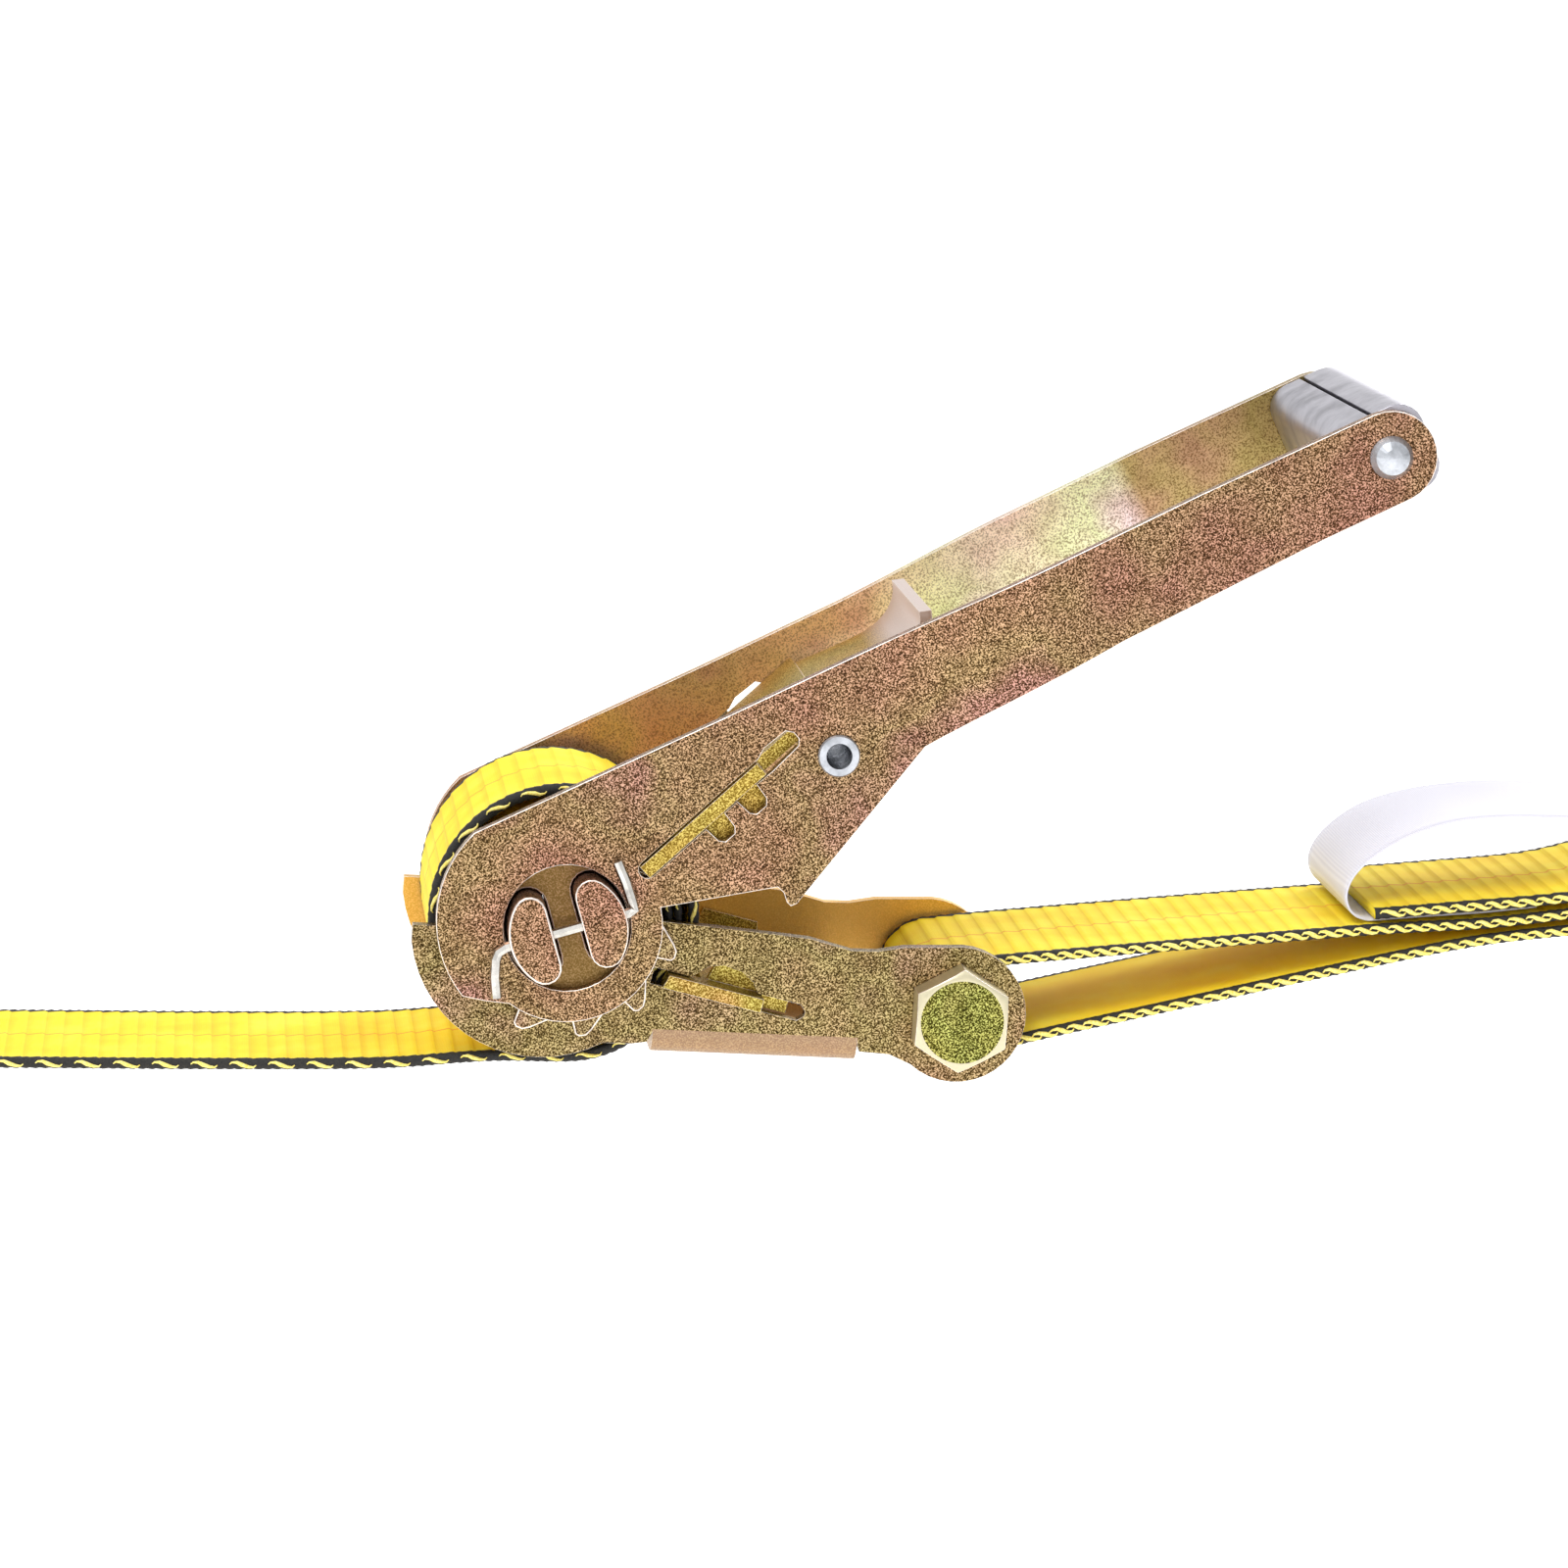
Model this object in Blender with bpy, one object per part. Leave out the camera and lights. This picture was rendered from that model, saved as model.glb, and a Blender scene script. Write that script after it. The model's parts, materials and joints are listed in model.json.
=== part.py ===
"""Ratchet tie down for 50 mm webbing.

Lengths below are in millimetres around the spindle: x runs along the straps, y across them, z up.
The part's own origin is the seat of the main strap's hook, where the object hangs.
"""
import math

import bmesh
import bpy
from mathutils import Vector
from mathutils.geometry import tessellate_polygon

MM = 0.001
GAP = 0.3                                   # running and resting clearance between pieces
SPINDLE = Vector((0.255, 0.0, 0.062))       # spindle axis, measured from the hook seat at the origin

# ---- driving dimensions -------------------------------------------------------------------------
WEBBING_WIDTH = 50.0
WEBBING_THICK = 2.2
SHEET = 3.0                                 # steel thickness of frame, plates and pawls
FRAME_OUTER = 29.0                          # half width over the frame's cheeks
FRAME_INNER = FRAME_OUTER - SHEET
WHEEL_INNER = 29.4
WHEEL_OUTER = 32.6
HANDLE_INNER = 33.0
HANDLE_OUTER = 36.0
HANDLE_FLARE = 6.5                          # each plate steps out by this much towards the grip
FLARE_START, FLARE_END = 80.0, 122.0        # along the handle
HANDLE_TILT = 30.0                          # the handle's long direction, degrees
BAR_RADIUS = 12.4
BAR_CHORD = 3.1                             # half of the webbing slot between the two bars
BAR_CORNER = 3.5
BAR_END = 41.0
SLOT_TILT = 18.5                            # lean of the webbing slot, degrees
HUB_HOLE = 13.2
PIN_RADIUS = 1.1
PIN_PLANE = 38.4
TEETH = 11
TOOTH_TIP, TOOTH_ROOT = 23.8, 18.9
TOOTH_FACE_AT = 278.3                       # angle of one tooth's steep face, degrees
ROLL_RADIUS = 25.5
WRAP_RADIUS = 27.1                          # middle of the outermost turn
DRIVE_TILT = 45.0                           # direction in which the drive pawl slides
DRIVE_LOW, DRIVE_HIGH = -3.5, -0.5          # the drive pawl's two faces, across that direction
LOCK_TILT = -12.0                           # direction in which the lock pawl slides
LOCK_LOW, LOCK_HIGH = -7.8, -4.9
BOLT = (83.2, -16.1)
BOLT_RADIUS = 6.0
BOLT_FLATS = 19.0
SLEEVE_RADIUS = 8.2
TUBE_AT = (53.9, 38.6)
GRIP_AT = (163.0, 106.8)
GRIP_RIVET_RADIUS = 3.0
HOOK_WIRE = 4.5                             # radius of the hooks' wire
MAIN_BAR = (-175.0, -44.0)                  # centre of the main hook's bar
FIXED_BAR = (238.0, 14.5)                   # centre of the fixed hook's bar
HOOK_LENGTH = 80.0                          # bar to the centre of the hook's bend
HOOK_BEND = 18.0                            # radius of the bend, to the wire's centre

ZINC_YELLOW = ((0.42, 0.30, 0.17), 0.38, 1.0)
ZINC_BRIGHT = ((0.72, 0.73, 0.75), 0.28, 1.0)
GRIP_GREY = ((0.46, 0.46, 0.50), 0.35, 1.0)
WEBBING = ((0.90, 0.74, 0.08), 0.75, 0.0)
TAG = ((0.90, 0.90, 0.88), 0.6, 0.0)


# ---- small tools ----------------------------------------------------------------------------------
def arc(cx, cz, radius, start, end, steps):
    """Points from angle start to angle end in degrees, both included."""
    angles = [math.radians(start + (end - start) * i / steps) for i in range(steps + 1)]
    return [(cx + radius * math.cos(a), cz + radius * math.sin(a)) for a in angles]


def circle(cx, cz, radius, steps):
    return arc(cx, cz, radius, 0, 360 * (steps - 1) / steps, steps - 1)


def turned_by(points, degrees, dx=0.0, dz=0.0):
    c, s = math.cos(math.radians(degrees)), math.sin(math.radians(degrees))
    return [(x * c - z * s + dx, x * s + z * c + dz) for x, z in points]


def upright(x, z, depth):
    """A point of an outline drawn in the x-z plane, depth along y."""
    return Vector((x, depth, z)) * MM


def across(y, z, depth):
    """A point of an outline drawn in the y-z plane, depth along x."""
    return Vector((depth, y, z)) * MM


def slanted(degrees):
    """Places outlines drawn along a pawl's slide and across it, depth square to the pawl."""
    c, s = math.cos(math.radians(degrees)), math.sin(math.radians(degrees))

    def place(u, y, v):
        return Vector((u * c - v * s, y, u * s + v * c)) * MM
    return place


def prism(loops, low, high, place=upright):
    """Outline loops[0] with holes loops[1:], extruded from low to high."""
    flat = [point for loop in loops for point in loop]
    triangles = tessellate_polygon([[Vector((p, q, 0)) for p, q in loop] for loop in loops])
    bm = bmesh.new()
    near = [bm.verts.new(place(p, q, low)) for p, q in flat]
    far = [bm.verts.new(place(p, q, high)) for p, q in flat]
    for a, b, c in triangles:
        bm.faces.new((near[a], near[b], near[c]))
        bm.faces.new((far[a], far[c], far[b]))
    start = 0
    for loop in loops:
        for i in range(len(loop)):
            a, b = start + i, start + (i + 1) % len(loop)
            bm.faces.new((near[a], near[b], far[b], far[a]))
        start += len(loop)
    bmesh.ops.recalc_face_normals(bm, faces=bm.faces[:])
    return bm


def lathe(profile, centre, steps, closed):
    """Turns (radius, y) points about the y direction; closed joins the last point to the first."""
    bm = bmesh.new()
    rings = []
    for radius, y in profile:
        points = circle(centre[0], centre[1], radius, steps) if radius else [centre]
        rings.append([bm.verts.new(upright(x, z, y)) for x, z in points])
    pairs = list(zip(rings, rings[1:])) + ([(rings[-1], rings[0])] if closed else [])
    for one, two in pairs:
        for i in range(steps):
            j = (i + 1) % steps
            corners = [one[i % len(one)], one[j % len(one)], two[j % len(two)], two[i % len(two)]]
            bm.faces.new(list(dict.fromkeys(corners)))
    bmesh.ops.recalc_face_normals(bm, faces=bm.faces[:])
    return bm


def ribbon(path, half_width, thickness, place=upright):
    """A flat strip along path, thickness across it and half_width to each side."""
    sections = []
    for i, (x, z) in enumerate(path):
        before, after = path[max(i - 1, 0)], path[min(i + 1, len(path) - 1)]
        tangent = Vector((after[0] - before[0], after[1] - before[1])).normalized()
        nx, nz = -tangent.y * thickness / 2, tangent.x * thickness / 2
        sections.append(((x + nx, z + nz), (x - nx, z - nz)))
    bm = bmesh.new()
    rows = []
    for upper, lower in sections:
        corners = ((*upper, -half_width), (*upper, half_width), (*lower, half_width), (*lower, -half_width))
        rows.append([bm.verts.new(place(*corner)) for corner in corners])
    for one, two in zip(rows, rows[1:]):
        for i in range(4):
            bm.faces.new((one[i], one[(i + 1) % 4], two[(i + 1) % 4], two[i]))
    bm.faces.new(rows[0])
    bm.faces.new(rows[-1])
    bmesh.ops.recalc_face_normals(bm, faces=bm.faces[:])
    return bm


def smooth_path(points, steps):
    """A Catmull-Rom curve through points, steps pieces between each two."""
    ends = [points[0], *points, points[-1]]
    path = []
    for p0, p1, p2, p3 in zip(ends, ends[1:], ends[2:], ends[3:]):
        for i in range(steps):
            t = i / steps
            path.append(tuple(
                0.5 * (2 * b + (c - a) * t + (2 * a - 5 * b + 4 * c - d) * t * t
                       + (3 * b - a - 3 * c + d) * t ** 3)
                for a, b, c, d in zip(p0, p1, p2, p3)))
    return path + [tuple(points[-1])]


# ---- scene helpers --------------------------------------------------------------------------------
def material(name, look):
    colour, roughness, metallic = look
    made = bpy.data.materials.new(name)
    made.use_nodes = True
    shader = made.node_tree.nodes["Principled BSDF"]
    shader.inputs["Base Color"].default_value = (*colour, 1.0)
    shader.inputs["Roughness"].default_value = roughness
    shader.inputs["Metallic"].default_value = metallic
    return made


def body(name):
    """An empty on the spindle axis that a moving group hangs from."""
    empty = bpy.data.objects.new(name, None)
    empty.location = SPINDLE
    bpy.context.collection.objects.link(empty)
    return empty


def place_object(name, data, parent, look):
    made = bpy.data.objects.new(name, data)
    made.parent = parent
    data.materials.append(material(name, look))
    bpy.context.collection.objects.link(made)
    return made


def solid(name, bm, parent, look):
    mesh = bpy.data.meshes.new(name)
    bm.to_mesh(mesh)
    bm.free()
    mesh.shade_smooth()
    mesh.set_sharp_from_angle(angle=math.radians(35))
    return place_object(name, mesh, parent, look)


def cut_or_join(target, bm, operation):
    """Combines target with a hidden helper shape."""
    helper = solid(target.name + "_" + operation.lower(), bm, target.parent, ZINC_YELLOW)
    helper.hide_render = True
    helper.display_type = "WIRE"
    modifier = target.modifiers.new(operation.title(), "BOOLEAN")
    modifier.operation = operation
    modifier.solver = "EXACT"
    modifier.object = helper


def wire(name, points, radius, parent, look, sides=2):
    curve = bpy.data.curves.new(name, "CURVE")
    curve.dimensions = "3D"
    curve.bevel_depth = radius * MM
    curve.bevel_resolution = sides
    curve.use_fill_caps = True
    spline = curve.splines.new("POLY")
    spline.points.add(len(points) - 1)
    for target, point in zip(spline.points, points):
        target.co = (*(Vector(point) * MM), 1.0)
    return place_object(name, curve, parent, look)


# ---- outlines ---------------------------------------------------------------------------------------
def bar_outline(chord, radius, corner):
    """A half-round bar to the right of an upright slot, with round corners."""
    inset = chord + corner
    reach = math.sqrt((radius - corner) ** 2 - inset ** 2)
    turn = math.degrees(math.atan2(reach, inset))
    return (arc(0, 0, radius, -turn, turn, 10)
            + arc(inset, reach, corner, turn, 180, 6)[1:]
            + arc(inset, -reach, corner, 180, 360 - turn, 6)[:-1])


def bar_holes():
    """Two openings that the bars pass through with clearance."""
    outline = bar_outline(BAR_CHORD - GAP, BAR_RADIUS + GAP, BAR_CORNER + GAP)
    return [turned_by(outline, SLOT_TILT), turned_by(outline, SLOT_TILT + 180)]


def wheel_outline():
    pitch = 360.0 / TEETH
    shape = ((-2.5, TOOTH_ROOT), (-0.6, TOOTH_TIP - 0.6), (1.4, TOOTH_TIP), (5.0, TOOTH_TIP),
             (8.5, TOOTH_TIP - 0.9), (16.0, TOOTH_TIP - 3.1), (24.0, TOOTH_ROOT))
    points = []
    for tooth in range(TEETH):
        for offset, radius in shape:
            angle = math.radians(TOOTH_FACE_AT + pitch * tooth + offset)
            points.append((radius * math.cos(angle), radius * math.sin(angle)))
    return points


def cheek_outline():
    hub = arc(0, 0, 17.0, 4, 186.5, 16)
    front = [(-31.5, -2.0)] + arc(-4.5, -1.5, 27.4, 189, 300, 16)
    bottom = [(15.2, -25.2), (18.4, -24.7), (19.9, -21.5), (62.0, -21.5), (63.0, -24.9), (69.3, -25.2)]
    rear = arc(BOLT[0], BOLT[1], 14.4, 230, 458, 24)
    top = [(71.1, -2.3), (65.5, -3.4), (60.2, -3.5), (51.1, -1.3), (34.7, 0.0)]
    return hub + front + bottom + rear + top


def lock_slot():
    straight = [(20.5, LOCK_LOW - GAP), (52.2, LOCK_LOW - GAP), (53.5, LOCK_LOW + 0.9),
                (53.5, LOCK_HIGH - 0.9), (52.2, LOCK_HIGH + GAP), (43.0, LOCK_HIGH + GAP)]
    hump = [(41.4, -2.6), (38.6, -1.0), (34.5, -0.6), (31.5, -1.6), (29.8, -3.4), (28.5, LOCK_HIGH + GAP)]
    return turned_by(straight + hump + [(20.5, LOCK_HIGH + GAP)], LOCK_TILT)


def drive_slot():
    """The drive pawl's slot with its two square bites and its wider head."""
    low, high = DRIVE_LOW - GAP, DRIVE_HIGH + GAP
    lower_end = arc(20.4, (low + high) / 2, (high - low) / 2, 90, 270, 6)
    bites = [(35.0, low), (35.3, -7.4), (36.2, -8.5), (38.7, -8.5), (39.6, -7.4), (39.9, low),
             (43.6, low), (43.9, -7.4), (44.8, -8.5), (47.4, -8.5), (48.4, -7.4), (48.8, low)]
    head = [(53.0, -4.0), (60.6, -3.6), (61.6, -2.6), (61.6, -0.9), (60.6, 0.4), (55.0, 0.7), (52.6, high)]
    return turned_by(lower_end + bites + head, DRIVE_TILT)


def handle_outline():
    hub_lobe = arc(-1.5, 1.5, 25.6, 137, 221, 14)
    hub_ring = [(-15.8, -16.1)] + arc(0, 0, 19.8, 236, 375, 20)
    underside = [(43.0, 10.5), (44.3, 9.4), (45.1, 7.4), (46.0, 6.6), (47.1, 7.1), (71.7, 41.3),
                 (109.9, 65.8), (149.9, 88.9)]
    tip = arc(GRIP_AT[0], GRIP_AT[1], 9.6, -60, 115, 14)
    top = [(123.5, 96.8), (60.0, 61.6), (30.0, 45.4)]
    return hub_lobe + hub_ring + underside + tip + top


# ---- frame ------------------------------------------------------------------------------------------
def frame_cheek(side):
    holes = [circle(0, 0, HUB_HOLE, 32), circle(*BOLT, BOLT_RADIUS + GAP, 24), lock_slot()]
    low, high = sorted((side * FRAME_INNER, side * FRAME_OUTER))
    return prism([cheek_outline(), *holes], low, high)


def frame_channel():
    """The web with its two rounded bends, reaching up into the cheeks."""
    bend, floor, top = 5.7, -27.5, -20.5
    left = arc(-FRAME_OUTER + bend, floor + bend, bend, 180, 270, 6)
    right = arc(FRAME_OUTER - bend, floor + bend, bend, 270, 360, 6)
    inner = bend - SHEET
    inner_right = arc(FRAME_INNER - inner, floor + bend, inner, 360, 270, 4)
    inner_left = arc(-FRAME_INNER + inner, floor + bend, inner, 270, 180, 4)
    outline = ([(-FRAME_OUTER, top)] + left + right + [(FRAME_OUTER, top), (FRAME_INNER, top)]
               + inner_right + inner_left + [(-FRAME_INNER, top)])
    return prism([outline], 19.5, 62.5, across)


def build_frame(parent):
    frame = solid("base_frame", frame_cheek(-1), parent, ZINC_YELLOW)
    cut_or_join(frame, frame_cheek(1), "UNION")
    cut_or_join(frame, frame_channel(), "UNION")
    tab = [(59.6, -25.5), (62.4, -25.5), (62.4, -12.0), (59.6, -12.0)]
    cut_or_join(frame, prism([tab], -9.0, 9.0), "UNION")


def hexagon(flats):
    return turned_by(circle(0, 0, flats / 2 / math.cos(math.radians(30)), 6), 30, *BOLT)


def build_bolt(parent):
    head_low, head_high = -37.1, -FRAME_OUTER - GAP
    washer_end = FRAME_OUTER + GAP + 2.5
    nut_end = washer_end + GAP + 10.0
    bolt = solid("anchor_bolt", prism([hexagon(BOLT_FLATS)], head_low, head_high), parent, ZINC_YELLOW)
    rounding = [(0, head_low - 1), (8.9, head_low - 1), (8.9, head_low), (12.0, head_low + 1.8),
                (12.0, head_high + 1), (0, head_high + 1)]
    cut_or_join(bolt, lathe(rounding, BOLT, 48, False), "INTERSECT")
    shank = [(0, head_high - 1), (BOLT_RADIUS, head_high - 1), (BOLT_RADIUS, nut_end + 2.5),
             (BOLT_RADIUS - 1, nut_end + 3.5), (0, nut_end + 3.5)]
    cut_or_join(bolt, lathe(shank, BOLT, 24, False), "UNION")
    washer = [(BOLT_RADIUS + GAP, FRAME_OUTER + GAP), (12.0, FRAME_OUTER + GAP),
              (12.0, washer_end), (BOLT_RADIUS + GAP, washer_end)]
    solid("bolt_washer", lathe(washer, BOLT, 32, True), parent, ZINC_BRIGHT)
    bore = circle(*BOLT, BOLT_RADIUS + GAP, 24)
    solid("bolt_nut", prism([hexagon(BOLT_FLATS), bore], washer_end + GAP, nut_end), parent, ZINC_BRIGHT)
    half = FRAME_INNER - GAP
    sleeve = [(BOLT_RADIUS + GAP, -half), (SLEEVE_RADIUS, -half), (SLEEVE_RADIUS, half),
              (BOLT_RADIUS + GAP, half)]
    solid("bolt_sleeve", lathe(sleeve, BOLT, 32, True), parent, ZINC_BRIGHT)


# ---- spindle ----------------------------------------------------------------------------------------
def build_spindle(parent):
    tilt = math.radians(SLOT_TILT)
    drill = [Vector((s * 14 * math.cos(tilt), 0, s * 14 * math.sin(tilt))) for s in (-1, 1)]
    for name, turn in (("mandrel_bar_right", 0), ("mandrel_bar_left", 180)):
        outline = turned_by(bar_outline(BAR_CHORD, BAR_RADIUS, BAR_CORNER), SLOT_TILT + turn)
        bar = solid(name, prism([outline], -BAR_END, BAR_END), parent, ZINC_YELLOW)
        for side in (-1, 1):
            cut_or_join(bar, pin_drilling(drill, side * PIN_PLANE), "DIFFERENCE")
    for name, side in (("near", -1), ("far", 1)):
        low, high = sorted((side * WHEEL_INNER, side * WHEEL_OUTER))
        wheel = prism([wheel_outline(), *bar_holes()], low, high)
        solid("ratchet_wheel_" + name, wheel, parent, ZINC_YELLOW)
        wire("retaining_pin_" + name, pin_route(side), PIN_RADIUS, parent, ZINC_BRIGHT)
    roll = [circle(0, 0, ROLL_RADIUS, 56), *bar_holes()]
    solid("webbing_roll", prism(roll, -WEBBING_WIDTH / 2, WEBBING_WIDTH / 2), parent, WEBBING)


def pin_drilling(ends, y):
    """A round hole through a bar, along the line between ends."""
    radius = PIN_RADIUS + GAP
    direction = (ends[1] - ends[0]).normalized()
    up = Vector((-direction.z, 0, direction.x))
    bm = bmesh.new()
    rings = []
    for end in ends:
        ring = []
        for p, q in circle(0, 0, radius, 12):
            ring.append(bm.verts.new((end + up * p + Vector((0, y + q, 0))) * MM))
        rings.append(ring)
    for i in range(12):
        j = (i + 1) % 12
        bm.faces.new((rings[0][i], rings[0][j], rings[1][j], rings[1][i]))
    bm.faces.new(rings[0])
    bm.faces.new(rings[1])
    bmesh.ops.recalc_face_normals(bm, faces=bm.faces[:])
    return bm


def pin_route(side):
    """The wire through both bars, bent up at one end and down at the other."""
    c, s = math.cos(math.radians(SLOT_TILT)), math.sin(math.radians(SLOT_TILT))
    right, left = (14.0 * c, 14.0 * s), (-14.0 * c, -14.0 * s)
    turn_right = [(0.92 * right[0], 0.92 * right[1]), (13.5, 5.0), (12.9, 6.6)]
    turn_left = [(0.94 * left[0], 0.94 * left[1]), (-14.0, -5.3), (-14.5, -6.8)]
    points = ([(9.4, 14.8), (11.4, 10.6)] + turn_right[::-1] + [(0, 0)] + turn_left
              + [(-14.5, -10.5), (-13.9, -14.8)])
    return [(x, side * PIN_PLANE, z) for x, z in points]


# ---- handle -----------------------------------------------------------------------------------------
def handle_plate(side):
    holes = [circle(0, 0, HUB_HOLE, 32), circle(*TUBE_AT, 3.5 + GAP, 20), drive_slot(),
             circle(*GRIP_AT, GRIP_RIVET_RADIUS + GAP, 20)]
    low, high = sorted((side * HANDLE_INNER, side * HANDLE_OUTER))
    bm = prism([handle_outline(), *holes], low, high)
    along = Vector((math.cos(math.radians(HANDLE_TILT)), 0, math.sin(math.radians(HANDLE_TILT))))
    cuts = 6
    for i in range(cuts + 1):
        station = FLARE_START + (FLARE_END - FLARE_START) * i / cuts
        bmesh.ops.bisect_plane(bm, geom=bm.verts[:] + bm.edges[:] + bm.faces[:],
                               plane_co=along * station * MM, plane_no=along, dist=1e-7)
    for vert in bm.verts:
        t = (vert.co.dot(along) / MM - FLARE_START) / (FLARE_END - FLARE_START)
        t = min(max(t, 0.0), 1.0)
        vert.co.y += side * HANDLE_FLARE * MM * t * t * (3 - 2 * t)
    bmesh.ops.triangulate(bm, faces=bm.faces[:])
    bmesh.ops.recalc_face_normals(bm, faces=bm.faces[:])
    return bm


def build_handle(parent):
    solid("handle_plate_near", handle_plate(-1), parent, ZINC_YELLOW)
    solid("handle_plate_far", handle_plate(1), parent, ZINC_YELLOW)
    flange_in, flange_out = HANDLE_OUTER + GAP, HANDLE_OUTER + GAP + 0.9
    tube = [(2.7, -flange_out), (4.1, -flange_out), (4.4, -flange_out + 0.4), (4.4, -flange_in),
            (3.5, -flange_in), (3.5, flange_in), (4.4, flange_in), (4.4, flange_out - 0.4),
            (4.1, flange_out), (2.7, flange_out)]
    solid("cross_tube", lathe(tube, TUBE_AT, 28, True), parent, ZINC_BRIGHT)
    build_grip(parent)
    coil_spring("drive_pawl_spring", (70.4, 82.0), DRIVE_TILT, -10.9, 2.0, parent)


def build_grip(parent):
    """A sleeve folded from sheet, open along a seam on top, on one long rivet."""
    half, corner, wall = 8.6, 4.5, 1.6
    reach = half - corner
    seam = 0.45
    path = [(seam, half)]
    corners = ((reach, reach, 90), (reach, -reach, 0), (-reach, -reach, -90), (-reach, reach, -180))
    for cx, cz, start in corners:
        path += arc(cx, cz, corner, start, start - 90, 5)
    path += [(-seam, half)]
    path = turned_by(path, HANDLE_TILT - 2.0, *GRIP_AT)
    inside = HANDLE_INNER + HANDLE_FLARE - GAP
    solid("grip_sleeve", ribbon(path, inside, wall), parent, GRIP_GREY)
    outside = HANDLE_OUTER + HANDLE_FLARE + GAP
    head = [(0, outside + 2.4), (1.9, outside + 2.2), (3.5, outside + 1.4), (4.5, outside),
            (GRIP_RIVET_RADIUS, outside)]
    profile = head + [(radius, -y) for radius, y in reversed(head)]
    solid("grip_rivet", lathe(profile, GRIP_AT, 24, False), parent, ZINC_BRIGHT)


def coil_spring(name, ends, tilt, offset, radius, parent):
    turns, per_turn = 6, 10
    place = slanted(tilt)
    points = []
    for i in range(turns * per_turn + 1):
        angle = 2 * math.pi * i / per_turn
        u = ends[0] + (ends[1] - ends[0]) * i / (turns * per_turn)
        points.append(place(u, radius * math.cos(angle), offset + radius * math.sin(angle)) / MM)
    wire(name, points, 0.45, parent, ZINC_BRIGHT, 1)


# ---- pawls ------------------------------------------------------------------------------------------
def build_drive_pawl(parent):
    """A plate with prongs through the handle's slots, flanges behind the bites and a lip for fingers."""
    tip_in, tip_out = WHEEL_INNER, HANDLE_OUTER + 0.8
    half = HANDLE_INNER - 0.6
    right = [(19.6, tip_out), (51.8, tip_out), (51.8, half), (68.0, half), (70.0, half - 2)]
    fork = [(34.0, tip_in), (21.2, tip_in), (21.2, half), (19.6, half)]
    outline = right + [(u, -y) for u, y in reversed(right)]
    outline += [(19.6, -half), (21.2, -half), (21.2, -tip_in), (34.0, -tip_in)] + fork
    blank = prism([outline], DRIVE_LOW, DRIVE_HIGH, slanted(DRIVE_TILT))
    pawl = solid("drive_pawl", blank, parent, ZINC_YELLOW)
    middle = (DRIVE_LOW + DRIVE_HIGH) / 2
    lip = smooth_path([(68.5, middle), (72.0, -2.9), (80.0, -5.6), (87.0, -7.3), (92.5, -6.9),
                       (96.4, -4.8), (98.5, -2.2)], 3)
    place = slanted(DRIVE_TILT)
    shape = ribbon(lip, 25.0, SHEET - 0.4, lambda u, v, y: place(u, y, v))
    cut_or_join(pawl, shape, "UNION")
    for side in (-1, 1):
        low, high = sorted((side * (WHEEL_INNER + 0.6), side * (half - 0.1)))
        flange = turned_by([(34.6, -9.6), (50.6, -9.6), (50.6, -1.2), (34.6, -1.2)], DRIVE_TILT)
        cut_or_join(pawl, prism([flange], low, high), "UNION")


def build_lock_pawl(parent):
    """A plate between the cheeks, flanged, with an ear through each slot, held clear of the wheels."""
    inner, ear = FRAME_INNER - 0.4, WHEEL_OUTER
    wide = [(22.9, ear), (44.0, ear), (44.0, inner), (50.0, inner)]
    outline = wide + [(u, -y) for u, y in reversed(wide)]
    outline += [(22.9, -inner - 0.2), (31.0, -inner - 0.2), (31.0, inner + 0.2), (22.9, inner + 0.2)]
    blank = prism([outline], LOCK_LOW, LOCK_HIGH, slanted(LOCK_TILT))
    pawl = solid("lock_pawl", blank, parent, ZINC_YELLOW)
    clear_of_teeth = prism([circle(0, 0, TOOTH_TIP + GAP, 96)], -ear - 1, ear + 1)
    cut_or_join(pawl, clear_of_teeth, "DIFFERENCE")
    for side in (-1, 1):
        low, high = sorted((side * (inner - 2.4), side * (inner - 0.1)))
        flange = turned_by([(32.0, -6.0), (48.0, -6.0), (46.0, 1.6), (34.0, 1.6)], LOCK_TILT)
        cut_or_join(pawl, prism([flange], low, high), "UNION")


# ---- webbing ----------------------------------------------------------------------------------------
def main_strap_path():
    turn = arc(0, 0, WRAP_RADIUS, 250, -36, 52)
    leaving = [(18.2, -21.0), (14.9, -25.0), (9.3, -28.0), (2.6, -29.4), (-10.7, -29.8), (-19.8, -30.6),
               (-38.0, -32.6), (-75.0, -34.3), (-115.0, -35.7)]
    bar_x, bar_z = MAIN_BAR
    round_bar = arc(bar_x, bar_z, HOOK_WIRE + GAP + WEBBING_THICK / 2, 90, 284, 14)
    sewn_back = [(-160.0, -46.0), (-150.0, -42.3), (-135.0, -39.3)]
    return turn + smooth_path([turn[-1], *leaving, round_bar[0]], 3)[1:-1] + round_bar + sewn_back


def fixed_strap_path():
    bar_x, bar_z = FIXED_BAR
    top = [(170.9, 8.4), (190.0, 10.8), (212.0, 13.8), (226.0, 17.6)]
    round_bar = arc(bar_x, bar_z, HOOK_WIRE + GAP + WEBBING_THICK / 2, 100, -96, 14)
    bottom = [(226.0, 8.4), (212.0, 6.6), (195.0, 3.9), (178.0, -0.1), (150.5, -7.4), (128.6, -13.3),
              (100.0, -21.0)]
    round_bolt = arc(BOLT[0], BOLT[1], SLEEVE_RADIUS + GAP + WEBBING_THICK / 2, -78, -262, 18)
    upper = [(96.0, -4.5), (129.0, -0.2), (160.0, 3.7), (176.0, 5.6), (195.0, 7.5), (212.0, 10.2),
             (220.0, 11.7)]
    return top + round_bar + bottom + round_bolt + upper


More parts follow.
